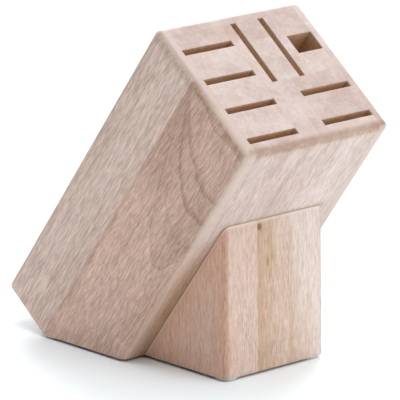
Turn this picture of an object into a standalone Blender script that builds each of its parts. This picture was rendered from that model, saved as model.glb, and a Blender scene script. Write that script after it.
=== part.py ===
"""Empty countertop knife block, built the way it is glued up on a bench.

The block is a leaning bar laminated from wooden staves that run the whole length of the bar.
Each knife slot is the gap that is left between staves, so it runs right through the bar.
A wedge-shaped foot of three upright staves holds the bar at its lean, two hidden dowels pin
the foot to the underside, and four clear bumpers carry the block on the worktop.

Units are metres and +Z is up. The slot face leans out towards -Y, the width is along X, and
the origin is on the worktop, under the middle of the bounding box.
"""

import math

import bmesh
import bpy
from mathutils import Vector

# Bar. Its own axes are X across, Y from the underside to the back and Z up the bar, from the
# line where the underside meets the level bottom of the wood.
BAR_WIDTH = 0.127
BAR_DEPTH = 0.115
BACK_LENGTH = 0.265
UNDERSIDE_LENGTH = 0.210
LEAN = math.radians(38.0)
BAR_ROUNDING = 0.0042
ROUNDING_SEGMENTS = 6

# Neighbouring staves keep this much air between their faces, for the glue.
GLUE_GAP = 0.0003

# Slot face layout. Across is measured from the left face, and down from the back.
SIDE_BOARD = 0.008
SIDE_BOARD_SEAM = 0.0465
BACK_BOARD = 0.0083
SHORT_SLOT = 0.0045
SHORT_SLOT_LENGTH = 0.043
LEFT_SLOTS_DOWN = (0.0239, 0.0507, 0.0767, 0.1032)
RIGHT_SLOTS_DOWN = (0.0753, 0.1016)
LONG_SLOT = 0.0042
LONG_SLOTS_ACROSS = (0.0621, 0.0866)
LONG_SLOT_END = 0.0611
STEEL_HOLE_ACROSS = 0.0974
STEEL_HOLE_DOWN = (0.0273, 0.0425)
CENTRE_SEAM = 0.0665
UPPER_SEAM = 0.0250
LOWER_SEAM = 0.0960

# Foot: a wedge under the bar, from the front of the underside's bottom edge.
FOOT_WIDTH = 0.090
FOOT_REACH = 0.0832
FOOT_ROUNDING = 0.0045
FOOT_SEAMS = (0.0295, 0.0580)

# Dowels stand square to the underside, this far up the bar from its bottom edge.
DOWEL_RADIUS = 0.004
DOWEL_LENGTH = 0.035
DOWEL_IN_BAR = 0.016
DOWEL_ROUNDING = 0.001
DOWEL_CLEARANCE = 0.0003
DOWEL_ACROSS = 0.05875
DOWELS_UP = {"dowel_lower": 0.040, "dowel_upper": 0.080}
DOWEL_SIDES = 24

# Bumper pads. The stand is the height of the wood above the worktop.
BUMPER_RADIUS = 0.0075
BUMPER_STAND = 0.0018
BUMPER_ROUNDING = 0.0008
BUMPER_INSET = 0.0085
BUMPER_SIDES = 32

# How far a dividing or cutting box runs past the shape that it works on.
OVERRUN = 0.010

# Colours are linear RGB.
WOOD_PALE = (0.68, 0.52, 0.42)
WOOD_PINK = (0.52, 0.36, 0.28)
WOOD_TAN = (0.62, 0.43, 0.27)
WOOD_DOWEL = (0.66, 0.49, 0.33)
BUMPER_CLEAR = (0.86, 0.88, 0.88)
WOOD_ROUGHNESS = 0.55
BUMPER_ROUGHNESS = 0.25

SMOOTH_ANGLE = math.radians(40.0)


def clear_scene():
    """Remove everything that the file opened with."""
    for item in list(bpy.data.objects):
        bpy.data.objects.remove(item, do_unlink=True)


def make_material(name, colour, roughness):
    """A plain Principled material."""
    material = bpy.data.materials.new(name)
    material.use_nodes = True
    shader = material.node_tree.nodes["Principled BSDF"]
    shader.inputs["Base Color"].default_value = (*colour, 1.0)
    shader.inputs["Roughness"].default_value = roughness
    shader.inputs["Metallic"].default_value = 0.0
    return material


def make_frame(name, location, tilt):
    """An empty that carries one group of pieces, tilted about X."""
    frame = bpy.data.objects.new(name, None)
    bpy.context.collection.objects.link(frame)
    frame.location = location
    frame.rotation_euler = (tilt, 0.0, 0.0)
    return frame


def make_object(name, bm, parent, material=None):
    """Turn a bmesh into a named object under a parent empty."""
    bmesh.ops.recalc_face_normals(bm, faces=bm.faces)
    mesh = bpy.data.meshes.new(name)
    bm.to_mesh(mesh)
    bm.free()
    if material is not None:
        mesh.materials.append(material)
    item = bpy.data.objects.new(name, mesh)
    bpy.context.collection.objects.link(item)
    item.parent = parent
    return item


def make_guide(name, bm, parent):
    """A hidden object that only bounds or cuts the pieces."""
    guide = make_object(name, bm, parent)
    guide.hide_render = True
    guide.display_type = "WIRE"
    return guide


def add_boolean(item, operation, other):
    """Intersect an object with another one, or cut it out."""
    modifier = item.modifiers.new(f"{operation.lower()} {other.name}", "BOOLEAN")
    modifier.operation = operation
    modifier.object = other
    modifier.solver = "EXACT"


def box_mesh(low, high):
    """A box between two opposite corners."""
    low = Vector(low)
    high = Vector(high)
    bm = bmesh.new()
    bmesh.ops.create_cube(bm, size=1.0)
    bmesh.ops.scale(bm, verts=bm.verts, vec=high - low)
    bmesh.ops.translate(bm, verts=bm.verts, vec=(low + high) / 2)
    return bm


def turned_mesh(outline, sides):
    """A closed solid turned about Z from a (radius, height) outline, bottom to top."""
    bm = bmesh.new()
    rings = []
    for radius, height in outline:
        angles = [2 * math.pi * step / sides for step in range(sides)]
        ring = [(radius * math.cos(a), radius * math.sin(a), height) for a in angles]
        rings.append([bm.verts.new(point) for point in ring])
    for lower, upper in zip(rings, rings[1:]):
        for here in range(sides):
            after = (here + 1) % sides
            bm.faces.new((lower[here], lower[after], upper[after], upper[here]))
    bm.faces.new(list(reversed(rings[0])))
    bm.faces.new(rings[-1])
    return bm


def rounded_end(radius, height, rounding, upwards, steps=4):
    """(radius, height) points of a rounded rim at the bottom or the top of a turned rod."""
    points = []
    for step in range(steps + 1):
        angle = math.pi / 2 * step / steps
        inward = rounding * (1 - math.sin(angle))
        along = rounding * (1 - math.cos(angle))
        points.append((radius - inward, height - along if upwards else height + along))
    return list(reversed(points)) if upwards else points


def shade_round(item):
    """Smooth shading, with edges that turn sharply kept crisp."""
    item.data.shade_smooth()
    item.data.set_sharp_from_angle(angle=SMOOTH_ANGLE)


def rear_end():
    """Place of the bar's rear end along the bar."""
    return UNDERSIDE_LENGTH - BACK_LENGTH


def leaning(depth, along):
    """World-aligned (Y, Z) of a place on the bar, before the bar is centred and raised."""
    y = depth * math.cos(LEAN) - along * math.sin(LEAN)
    z = depth * math.sin(LEAN) + along * math.cos(LEAN)
    return y, z


def centring_shift():
    """The shift in Y that puts the middle of the bounding box over the origin."""
    front_corner, _ = leaning(BAR_ROUNDING, UNDERSIDE_LENGTH - BAR_ROUNDING)
    back_corner, _ = leaning(BAR_DEPTH - BAR_ROUNDING, rear_end() + BAR_ROUNDING)
    return -(front_corner + back_corner) / 2


def bottom_back():
    """Y of the bar's rear bottom edge, where its rear end meets the level bottom."""
    depth = -rear_end() / math.tan(LEAN)
    y, _ = leaning(depth, rear_end())
    return y


def make_bar_envelope(bar, level):
    """The outer shape of the whole bar: a rounded box, cut off level at the bottom."""
    half = BAR_WIDTH / 2
    low = (-half, 0.0, rear_end())
    high = (half, BAR_DEPTH, UNDERSIDE_LENGTH)
    envelope = make_guide("bar_envelope", box_mesh(low, high), bar)
    rounding = envelope.modifiers.new("rounded edges", "BEVEL")
    rounding.width = BAR_ROUNDING
    rounding.segments = ROUNDING_SEGMENTS
    rounding.limit_method = "NONE"
    span = BACK_LENGTH
    below = box_mesh((-span, -span, -span), (span, span, 0.0))
    add_boolean(envelope, "DIFFERENCE", make_guide("below_bottom", below, level))
    return envelope


def inset_span(start, end, limit):
    """One side-to-side span of a stave: half a glue gap short, or past the outer face."""
    low = -OVERRUN if start == 0.0 else start + GLUE_GAP / 2
    high = limit + OVERRUN if end == limit else end - GLUE_GAP / 2
    return low, high


def make_stave(name, across, down, bar, envelope, material):
    """One stave of the bar, given by its place on the slot face."""
    left, right = inset_span(*across, BAR_WIDTH)
    back, front = inset_span(*down, BAR_DEPTH)
    low = (left - BAR_WIDTH / 2, BAR_DEPTH - front, rear_end() - OVERRUN)
    high = (right - BAR_WIDTH / 2, BAR_DEPTH - back, UNDERSIDE_LENGTH + OVERRUN)
    stave = make_object(name, box_mesh(low, high), bar, material)
    add_boolean(stave, "INTERSECT", envelope)
    return stave


def slot_sides(middle, thickness):
    """The two sides of a slot from its middle."""
    return middle - thickness / 2, middle + thickness / 2


def stave_layout():
    """Name, across span, down span and wood of every stave of the bar."""
    inner_left = SIDE_BOARD
    inner_right = BAR_WIDTH - SIDE_BOARD
    left_end = inner_left + SHORT_SLOT_LENGTH
    right_start = inner_right - SHORT_SLOT_LENGTH
    long_a, long_b = (slot_sides(middle, LONG_SLOT) for middle in LONG_SLOTS_ACROSS)
    hole_back, hole_front = STEEL_HOLE_DOWN

    staves = []
    for side, across in (("left", (0.0, inner_left)), ("right", (inner_right, BAR_WIDTH))):
        staves.append((f"{side}_board_back", across, (0.0, SIDE_BOARD_SEAM), "wood_pale"))
        staves.append((f"{side}_board_front", across, (SIDE_BOARD_SEAM, BAR_DEPTH), "wood_pink"))
    staves += [
        ("back_board_left", (inner_left, CENTRE_SEAM), (0.0, BACK_BOARD), "wood_pink"),
        ("back_board_right", (CENTRE_SEAM, inner_right), (0.0, BACK_BOARD), "wood_pink"),
        ("left_divider", (left_end, long_a[0]), (BACK_BOARD, LONG_SLOT_END), "wood_pale"),
        ("centre_divider_back", (long_a[1], long_b[0]), (BACK_BOARD, UPPER_SEAM), "wood_pink"),
        ("centre_divider_front", (long_a[1], long_b[0]), (UPPER_SEAM, LONG_SLOT_END), "wood_pale"),
        ("right_divider_back", (long_b[1], STEEL_HOLE_ACROSS), (BACK_BOARD, UPPER_SEAM), "wood_pink"),
        ("right_divider_front", (long_b[1], STEEL_HOLE_ACROSS), (UPPER_SEAM, LONG_SLOT_END), "wood_pale"),
        ("steel_strip_back", (STEEL_HOLE_ACROSS, inner_right), (BACK_BOARD, hole_back), "wood_pink"),
        ("steel_strip_front", (STEEL_HOLE_ACROSS, inner_right), (hole_front, LONG_SLOT_END), "wood_pale"),
        ("centre_block_back", (left_end, CENTRE_SEAM), (LONG_SLOT_END, LOWER_SEAM), "wood_pale"),
        ("centre_block_front", (left_end, CENTRE_SEAM), (LOWER_SEAM, BAR_DEPTH), "wood_pink"),
        ("right_spine", (CENTRE_SEAM, right_start), (LONG_SLOT_END, BAR_DEPTH), "wood_pink"),
    ]
    columns = (
        ("left", (inner_left, left_end), BACK_BOARD, LEFT_SLOTS_DOWN),
        ("right", (right_start, inner_right), LONG_SLOT_END, RIGHT_SLOTS_DOWN),
    )
    for side, across, start, slots in columns:
        sides = [slot_sides(middle, SHORT_SLOT) for middle in slots]
        starts = [start] + [front for _, front in sides]
        ends = [back for back, _ in sides] + [BAR_DEPTH]
        for number, down in enumerate(zip(starts, ends), start=1):
            staves.append((f"{side}_strip_{number}", across, down, "wood_pale"))
    return staves


def make_bar(bar, level, woods):
    """All the staves of the bar, by name."""
    envelope = make_bar_envelope(bar, level)
    return {
        name: make_stave(name, across, down, bar, envelope, woods[wood])
        for name, across, down, wood in stave_layout()
    }


def make_foot_envelope(level):
    """The whole foot: a wedge whose upright front edges are rounded."""
    half = FOOT_WIDTH / 2
    slope_end = -GLUE_GAP / math.cos(LEAN)
    top = (FOOT_REACH * math.cos(LEAN) - GLUE_GAP) / math.sin(LEAN)
    outline = ((-FOOT_REACH, 0.0), (slope_end, 0.0), (-FOOT_REACH, top))
    bm = bmesh.new()
    left, right = (
        [bm.verts.new((x, y, z)) for y, z in outline]
        for x in (-half, half)
    )
    bm.faces.new(left)
    bm.faces.new(right)
    for here in range(3):
        after = (here + 1) % 3
        bm.faces.new((left[here], left[after], right[after], right[here]))
    upright = [bm.edges.get((side[0], side[2])) for side in (left, right)]
    bmesh.ops.bevel(
        bm, geom=upright, offset=FOOT_ROUNDING, segments=ROUNDING_SEGMENTS, profile=0.5, affect="EDGES"
    )
    return make_guide("foot_envelope", bm, level)


def make_foot(level, woods):
    """The three staves of the foot, by name."""
    envelope = make_foot_envelope(level)
    seams = (0.0, *FOOT_SEAMS, FOOT_WIDTH)
    names = ("foot_left", "foot_middle", "foot_right")
    tones = ("wood_pale", "wood_tan", "wood_pale")
    staves = {}
    for name, tone, start, end in zip(names, tones, seams, seams[1:]):
        left, right = (place - FOOT_WIDTH / 2 for place in inset_span(start, end, FOOT_WIDTH))
        low = (left, -BAR_DEPTH, -OVERRUN)
        high = (right, OVERRUN, BAR_DEPTH)
        stave = make_object(name, box_mesh(low, high), level, woods[tone])
        add_boolean(stave, "INTERSECT", envelope)
        staves[name] = stave
    return staves


def place_on_underside(item, up_bar, depth):
    """Stand a turned piece square to the underside, with its foot at a depth in the bar."""
    item.location = (DOWEL_ACROSS - BAR_WIDTH / 2, depth, up_bar)
    item.rotation_euler = (math.radians(-90.0), 0.0, 0.0)


def make_dowels(bar, bored, material):
    """The dowels, and their bores in the pieces that they pin together."""
    bottom = rounded_end(DOWEL_RADIUS, 0.0, DOWEL_ROUNDING, upwards=False)
    top = rounded_end(DOWEL_RADIUS, DOWEL_LENGTH, DOWEL_ROUNDING, upwards=True)
    start = DOWEL_IN_BAR - DOWEL_LENGTH
    bore_radius = DOWEL_RADIUS + DOWEL_CLEARANCE
    bore_outline = ((bore_radius, -DOWEL_CLEARANCE), (bore_radius, DOWEL_LENGTH + DOWEL_CLEARANCE))
    for name, up_bar in DOWELS_UP.items():
        dowel = make_object(name, turned_mesh(bottom + top, DOWEL_SIDES), bar, material)
        place_on_underside(dowel, up_bar, start)
        shade_round(dowel)
        bore = make_guide(f"{name}_bore", turned_mesh(bore_outline, DOWEL_SIDES), bar)
        place_on_underside(bore, up_bar, start)
        for stave in bored:
            add_boolean(stave, "DIFFERENCE", bore)


def make_bumpers(level, material):
    """Four bumpers: two under the front of the foot and two under the rear of the bar."""
    height = BUMPER_STAND - GLUE_GAP
    outline = rounded_end(BUMPER_RADIUS, 0.0, BUMPER_ROUNDING, upwards=False)
    outline.append((BUMPER_RADIUS, height))
    rows = (
        ("front", FOOT_WIDTH / 2 - BUMPER_INSET, BUMPER_INSET - FOOT_REACH),
        ("rear", BAR_WIDTH / 2 - BUMPER_INSET, bottom_back() - BUMPER_INSET),
    )
    for row, x, y in rows:
        for side, sign in (("left", -1), ("right", 1)):
            name = f"bumper_{row}_{side}"
            bumper = make_object(name, turned_mesh(outline, BUMPER_SIDES), level, material)
            bumper.location = (sign * x, y, -BUMPER_STAND)
            shade_round(bumper)


def main():
    clear_scene()
    woods = {
        "wood_pale": make_material("wood_pale", WOOD_PALE, WOOD_ROUGHNESS),
        "wood_pink": make_material("wood_pink", WOOD_PINK, WOOD_ROUGHNESS),
        "wood_tan": make_material("wood_tan", WOOD_TAN, WOOD_ROUGHNESS),
    }
    dowel_wood = make_material("dowel_wood", WOOD_DOWEL, WOOD_ROUGHNESS)
    clear_rubber = make_material("clear_rubber", BUMPER_CLEAR, BUMPER_ROUGHNESS)

    place = (0.0, centring_shift(), BUMPER_STAND)
    bar = make_frame("bar_frame", place, LEAN)
    level = make_frame("level_frame", place, 0.0)

    staves = make_bar(bar, level, woods)
    foot = make_foot(level, woods)
    make_dowels(bar, (staves["centre_block_front"], foot["foot_middle"]), dowel_wood)
    make_bumpers(level, clear_rubber)


main()
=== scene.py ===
"""The looks of an empty knife block: oiled rubberwood staves on soft bumpers.

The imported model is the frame. Every stave is built again here on the section that its CAD node
has, with finer roundings, eased slot mouths and closed glue lines, and gets a wood of its own.
Lengths are in metres unless a name says otherwise.
"""

import math

import bmesh
import bpy
from mathutils import Matrix, Quaternion, Vector


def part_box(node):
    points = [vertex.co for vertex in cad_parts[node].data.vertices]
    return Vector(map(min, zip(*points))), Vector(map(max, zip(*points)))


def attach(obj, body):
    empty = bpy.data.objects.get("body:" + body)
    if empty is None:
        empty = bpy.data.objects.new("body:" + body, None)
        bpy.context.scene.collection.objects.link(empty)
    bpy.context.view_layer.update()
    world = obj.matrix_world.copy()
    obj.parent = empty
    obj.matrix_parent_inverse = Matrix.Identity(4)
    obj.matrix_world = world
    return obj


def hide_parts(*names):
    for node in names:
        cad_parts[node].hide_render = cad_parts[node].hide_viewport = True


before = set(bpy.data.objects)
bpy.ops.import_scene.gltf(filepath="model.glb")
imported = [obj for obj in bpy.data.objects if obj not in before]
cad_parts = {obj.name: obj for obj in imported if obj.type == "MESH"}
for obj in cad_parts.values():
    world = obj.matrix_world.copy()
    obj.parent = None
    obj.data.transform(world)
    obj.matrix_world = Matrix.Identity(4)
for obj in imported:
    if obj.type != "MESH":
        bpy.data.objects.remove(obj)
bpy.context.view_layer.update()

# Sizes of the design.
BAR_WIDTH = 0.127
BAR_DEPTH = 0.115
BACK_LENGTH = 0.265
UNDERSIDE_LENGTH = 0.210
REAR_END = UNDERSIDE_LENGTH - BACK_LENGTH
LEAN = math.radians(38.0)
FOOT_WIDTH = 0.090
FOOT_REACH = 0.0832
SIDE_SEAM_HEIGHT = 0.0685
MM = 1000.0

# Finer shape than the CAD model has.
BAR_ROUNDING = 0.00433
FOOT_ROUNDING = 0.00464
ROUNDING_SEGMENTS = 14
FOOT_TOP_EASE = 0.0018
FOOT_TOP_EASE_SEGMENTS = 6
BOTTOM_EASE = 0.0008
BOTTOM_EASE_SEGMENTS = 3
MOUTH_EASE = 0.00045
MOUTH_STEPS = 4
GLUE_GAP = 0.0003
LEAST_CONTACT = 0.001
SEAM = 0.00002
OVERRUN = 0.010
SMOOTH_ANGLE = math.radians(35.0)
SLIVER = 0.000001
FLAT_ANGLE = 0.0005

# How near counts as on a plane, and how far past a place counts as clear of it.
ON_PLANE = 0.000001
PAST_ARC = 0.00001
PAST_TOE = 0.0001

# The camera stands far off with a long lens.
CAMERA_AZIMUTH_DEGREES = -41.259
CAMERA_ELEVATION_DEGREES = 14.509
CAMERA_ROLL = math.radians(-0.747)
CAMERA_DISTANCE = 2.8712
CAMERA_LENS_MM = 375.97
CAMERA_SENSOR_MM = 36.0
CAMERA_SEES_TO = 100.0
CAMERA_AIM = Vector((0.01793, 0.01449, 0.09738))

# Material index of the walls inside the slots; the sanded outside is 0.
SAWN = 1

# Bumpers and dowels.
BUMPER_SHOULDER = 0.0019
BUMPER_CROWN = 0.0012
BUMPER_SEGMENTS = 10
BUMPER_SIDES = 72
DOWEL_FLUTES = 18
DOWEL_SIDES = 8 * DOWEL_FLUTES
DOWEL_CHAMFER = 0.0010
FLUTE_DEPTH = 0.00025
BORE_FIT = 0.00005
DOWELLED = ("centre_block_front", "foot_middle")
DOWELS = ("dowel_lower", "dowel_upper")
BUMPERS = ("bumper_front_left", "bumper_front_right", "bumper_rear_left", "bumper_rear_right")

# Wide soft boxes, as (name, azimuth, elevation, spread, strength); degrees, from -Y towards +X.
SOFT_BOXES = (
    ("front_box", 0.0, 60.0, 60.0, 1.9),
    ("overhead_box", 0.0, 90.0, 60.0, 0.9),
    ("low_front_box", 0.0, 20.0, 60.0, 0.42),
    ("rear_box", 135.0, 27.0, 40.0, 2.6),
    ("high_rear_box", 180.0, 60.0, 60.0, 0.35),
    ("right_fill", 45.0, 20.0, 60.0, 0.2),
)
ROOM_LIGHT = 0.03
FLOOR_SIZE = 8.0
FLOOR_COLOUR = (0.912, 0.970, 1.0, 1.0)

# Finish colours and painted light and shade, linear RGB.
WARM_TINT = (1.02, 0.97, 0.90, 1.0)
END_GRAIN = (0.70, 0.570, 0.525, 1.0)
END_TINT = (0.888, 0.888, 0.895, 1.0)
# Cream on the side roundings: partly a paler edge colour, partly a painted highlight.
CREAM = (0.73, 0.590, 0.480, 1.0)
BOARD_EDGE = (0.69, 0.570, 0.510, 1.0)
# Painted shade for the bar's flat side just below the slot face and for the upper part of the side's
# rounding.
SIDE_PAINTED_SHADE = (0.80, 0.79, 0.77, 1.0)
# Painted shade with a brown tint on the rounding between the slot face and the underside.
FRONT_EDGE_SHADE_AND_TINT = (0.76, 0.665, 0.585, 1.0)
# Painted shade on the foot's rounded upright edges.
FOOT_EDGE_SHADE = (0.84, 0.78, 0.74, 1.0)
# Painted shade together with a stain, under the bar's overhang around the foot.
CORNER_SHADE_AND_STAIN = (0.74, 0.61, 0.45, 1.0)
GLUE_LINE = (0.52, 0.38, 0.26, 1.0)
# A painted highlight in cream on the foot's eased top edge.
EASE_HIGHLIGHT = (0.84, 0.730, 0.590, 1.0)
BLUSH = (0.86, 0.74, 0.68, 1.0)
STREAK = (0.80, 0.72, 0.66, 1.0)
SPECK = (0.78, 0.78, 0.66, 1.0)
KNOT = (0.42, 0.31, 0.24, 1.0)
RUBBER_CLEAR = (0.97, 0.96, 0.96, 1.0)
RUBBER_HAZE = (0.90, 0.88, 0.87, 1.0)
SAWN_DARK = (0.34, 0.195, 0.110, 1.0)
SAWN_LIGHT = (0.84, 0.560, 0.370, 1.0)

# Wood tones, linear RGB: the paler and the deeper colour of the grain.
TONES = {
    "pale": ((0.765, 0.650, 0.600), (0.59, 0.445, 0.387)),
    "side": ((0.835, 0.645, 0.555), (0.60, 0.420, 0.340)),
    "heart": ((0.785, 0.542, 0.442), (0.475, 0.287, 0.213)),
    "pink": ((0.725, 0.585, 0.532), (0.54, 0.391, 0.338)),
    "foot": ((0.680, 0.540, 0.465), (0.720, 0.430, 0.315)),
    "tan": ((0.77, 0.640, 0.580), (0.58, 0.385, 0.262)),
    "beech": ((0.66, 0.480, 0.330), (0.52, 0.350, 0.220)),
}

# Noises, as (stretch along each axis for a millimetre, detail).
FIBRE = ((0.92, 0.92, 0.080), 2.0)
FLECK = ((1.45, 1.45, 0.17), 1.0)
BAND = ((0.26, 0.26, 0.014), 2.0)
BLOTCH = ((0.10, 0.10, 0.045), 2.0)
BROAD = ((0.050, 0.050, 0.0045), 2.0)
PORES = ((1.5, 1.5, 0.14), 1.0)
PORE_ZONES = ((0.12, 0.12, 0.012), 2.0)
CURL = ((0.05, 0.05, 0.32), 1.0)
WARMTH = ((0.04, 0.04, 0.014), 2.0)
SAW_MARKS = ((0.05, 0.05, 1.1), 2.0)
SAWN_GRAIN = ((0.9, 0.9, 0.05), 3.0)
HAZE = ((0.6, 0.6, 0.6), 3.0)
SWAY_STRETCH = (0.045, 0.045, 0.040)

# How strongly the lines change the wood's red, green and blue.
LINE_DEPTH = (0.82, 1.0, 1.12)

# The darkest line, and how much paler the wood gets beside the fibres and the flecks.
DARKEST_LINE = -0.18
FIBRE_RISE = 0.19
FLECK_RISE = 0.17

# How much each noise counts in the wood's figure.
BROAD_SHARE = 1.2
BAND_SHARE = 0.75
BLOTCH_SHARE = 0.55
WARM_SHARE = 0.35

# What the end grain changes: fainter rings, and a stronger figure.
RINGS_AT_END = -0.6
FIGURE_AT_END = 1.3

# How far growth rings wander, as (noise, millimetres).
RING_WANDER = (
    (((0.030, 0.030, 0.010), 2.0), 8.0),
    (((0.16, 0.16, 0.03), 3.0), 2.2),
    (((0.9, 0.9, 0.12), 1.0), 0.9),
)
ARCH_WANDER = (
    (((0.045, 0.045, 0.02), 2.0), 14.0),
    (((0.22, 0.22, 0.10), 2.0), 5.0),
)

# The growth rings of the left board's figure, as (millimetres down the fan, tone).
ARCHES = (
    (146.0, 0.12),
    (132.0, 0.36),
    (101.0, 0.18),
    (75.0, 0.50),
    (53.0, 0.38),
    (11.0, 0.38),
)
ARCH_TIP = 50.0
ARCH_FADE = 7.0
ARCH_EDGE = 1.3
LEAST_BEND = 0.04

# From here on a pair is a smooth step: nothing at its first number, all at its second.
# In a noise around 0, or in the part of a growth ring that is passed.
RING_RISE = (0.55, 0.97)
RING_FALL = (1.0, 0.975)
FIBRE_STEP = (-0.13, 0.13)
FLECK_STEP = (-0.16, 0.12)
PORE_STEP = (0.10, 0.20)
PORE_ZONE_STEP = (-0.12, 0.12)
WARM_STEP = (-0.06, 0.20)
HAZE_STEP = (-0.2, 0.2)

# In the left board's figure, in millimetres down the fan, along the board or across it.
ARCH_RETURN_ALONG = (90.0, 125.0)
ARCH_INSIDE = (136.0, 118.0)
ARCH_INSIDE_ALONG = (108.0, 80.0)
ARCH_CORE = (54.0, 36.0)
ARCH_FAN_ACROSS = (34.0, 8.0)
ARCH_FAN_OUTER = (92.0, 70.0)
ARCH_FAN_INNER = (38.0, 52.0)

# On the bar, in millimetres from its upper end, from its underside, from its middle or from the foot.
SIDE_SHADE_BELOW_END = (10.0, 4.6)
EDGE_SHADE_BELOW_END = (130.0, 70.0)
FRONT_EDGE_REACH = (7.0, 2.4)
UPPER_HIGHLIGHT_BELOW_END = (150.0, 55.0)
LOWER_HIGHLIGHT_HEIGHT = (78.0, 20.0)
BOARD_EDGE_ACROSS = (54.5, 56.0)
SHADE_AND_STAIN_HEIGHT = (8.0, 2.0)
SHADE_AND_STAIN_BESIDE = (30.0, 2.0)
SHADE_AND_STAIN_BEYOND = (2.0, -60.0)
GLUE_SPREAD = (3.0, 0.1)

# On the foot, in millimetres below the joint with the bar.
EASE_HIGHLIGHT_BELOW_JOINT = (2.6, 1.2)
GLUE_BELOW_JOINT = (0.4, 0.05)

# In how squarely a surface faces an axis, from 0 to 1, or in a product of two of these.
FACES_END = (0.55, 0.95)
FACES_SIDEWAYS = (0.3, 0.95)
FACES_SIDE_FLAT = (0.90, 0.995)
TURNS_FROM_SIDE = (0.05, 0.35)
STILL_FACES_SIDE = (0.10, 0.55)
FACES_UNDER = (0.3, 0.95)
CREAM_TURN = (0.04, 0.48)
FOOT_EDGE_SHADE_TURN = (0.05, 0.45)

# How much of a finish or of painted light shows where it is strongest.
CREAM_SHARE = 0.60
BOARD_EDGE_SHARE = 0.7
EASE_HIGHLIGHT_SHARE = 0.45
BAR_GLUE_SHARE = 0.22
FOOT_GLUE_SHARE = 0.25

# Bumps, as (strength, distance in metres).
WOOD_BUMP = (0.25, 0.0002)
SAWN_BUMP = (0.4, 0.0003)
RUBBER_BUMP = (0.1, 0.0001)

WOOD_SPECULAR = 0.35
SAWN_SPECULAR = 0.2
RUBBER_IOR = 1.41
RUBBER_TRANSMISSION = 0.1
RUBBER_SUBSURFACE = 0.7
RUBBER_SUBSURFACE_SCALE = 0.004
FLOOR_ROUGHNESS = 0.9


# ---------------------------------------------------------------- places from the frame

def bar_matrix():
    """The bar's own axes: X across, Y from the underside to the back, Z along the grain."""
    low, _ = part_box("foot_left")
    origin = Vector((0.0, low.y + FOOT_REACH, low.z))
    return Matrix.Translation(origin) @ Matrix.Rotation(LEAN, 4, "X")


BAR = bar_matrix()
LEVEL = Matrix.Translation(BAR.translation)


def cad_section(node, matrix):
    """Lowest and highest corner of a CAD node in the axes of a matrix."""
    inverse = matrix.inverted()
    points = [inverse @ vert.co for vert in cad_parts[node].data.vertices]
    low = Vector(min(point[i] for point in points) for i in range(3))
    high = Vector(max(point[i] for point in points) for i in range(3))
    return low, high


# ---------------------------------------------------------------- mesh helpers

def mesh_object(name, bm):
    """Link a bmesh as a new object at the origin."""
    mesh = bpy.data.meshes.new(name)
    bm.to_mesh(mesh)
    bm.free()
    item = bpy.data.objects.new(name, mesh)
    bpy.context.scene.collection.objects.link(item)
    return item


def box_mesh(low, high, material_index=0):
    """A box between two opposite corners."""
    bm = bmesh.new()
    bmesh.ops.create_cube(bm, size=1.0)
    bmesh.ops.scale(bm, verts=bm.verts, vec=high - low)
    bmesh.ops.translate(bm, verts=bm.verts, vec=(low + high) / 2)
    for face in bm.faces:
        face.material_index = material_index
    return bm


def settle(item):
    """Replace an object's mesh with what its modifiers make of it."""
    depsgraph = bpy.context.evaluated_depsgraph_get()
    made = bpy.data.meshes.new_from_object(item.evaluated_get(depsgraph))
    made.name = item.name
    item.modifiers.clear()
    item.data = made


def tidy_faces(item):
    """Dissolve the slivers and the points on straight edges that the cutting left."""
    bm = bmesh.new()
    bm.from_mesh(item.data)
    bmesh.ops.dissolve_degenerate(bm, dist=SLIVER, edges=bm.edges)
    bmesh.ops.dissolve_limit(
        bm,
        angle_limit=FLAT_ANGLE,
        verts=bm.verts,
        edges=bm.edges,
        delimit={"MATERIAL"},
    )
    bm.to_mesh(item.data)
    bm.free()


def add_boolean(item, operation, other):
    """Intersect with another object, or cut it out."""
    modifier = item.modifiers.new(operation.title(), "BOOLEAN")
    modifier.operation = operation
    modifier.object = other
    modifier.solver = "EXACT"


def round_edges(bm, edges, offset, segments):
    """Round some of a mesh's edges."""
    bmesh.ops.bevel(bm, geom=edges, offset=offset, segments=segments, profile=0.5, affect="EDGES")


def drop(*items):
    """Remove helper objects."""
    for item in items:
        bpy.data.objects.remove(item)


def level_cut(bm, matrix):
    """Cut everything below the wood's level bottom off, and ease the new edges."""
    normal = matrix.inverted().to_3x3() @ Vector((0.0, 0.0, 1.0))
    whole = list(bm.verts) + list(bm.edges) + list(bm.faces)
    made = bmesh.ops.bisect_plane(
        bm, geom=whole, plane_co=(0.0, 0.0, 0.0), plane_no=normal, clear_inner=True
    )
    rim = [item for item in made["geom_cut"] if isinstance(item, bmesh.types.BMEdge)]
    bmesh.ops.contextual_create(bm, geom=rim)
    round_edges(bm, rim, BOTTOM_EASE, BOTTOM_EASE_SEGMENTS)
    bmesh.ops.recalc_face_normals(bm, faces=bm.faces)


def bar_envelope():
    """The rounded outside of the whole bar, in the bar's own axes."""
    half = BAR_WIDTH / 2
    bm = box_mesh(Vector((-half, 0.0, REAR_END)), Vector((half, BAR_DEPTH, UNDERSIDE_LENGTH)))
    round_edges(bm, list(bm.edges), BAR_ROUNDING, ROUNDING_SEGMENTS)
    level_cut(bm, BAR)
    for vert in bm.verts:
        vert.co.x = min(max(vert.co.x, -half), half)
        vert.co.y = min(max(vert.co.y, 0.0), BAR_DEPTH)
    return mesh_object("bar_envelope", bm)


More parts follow.
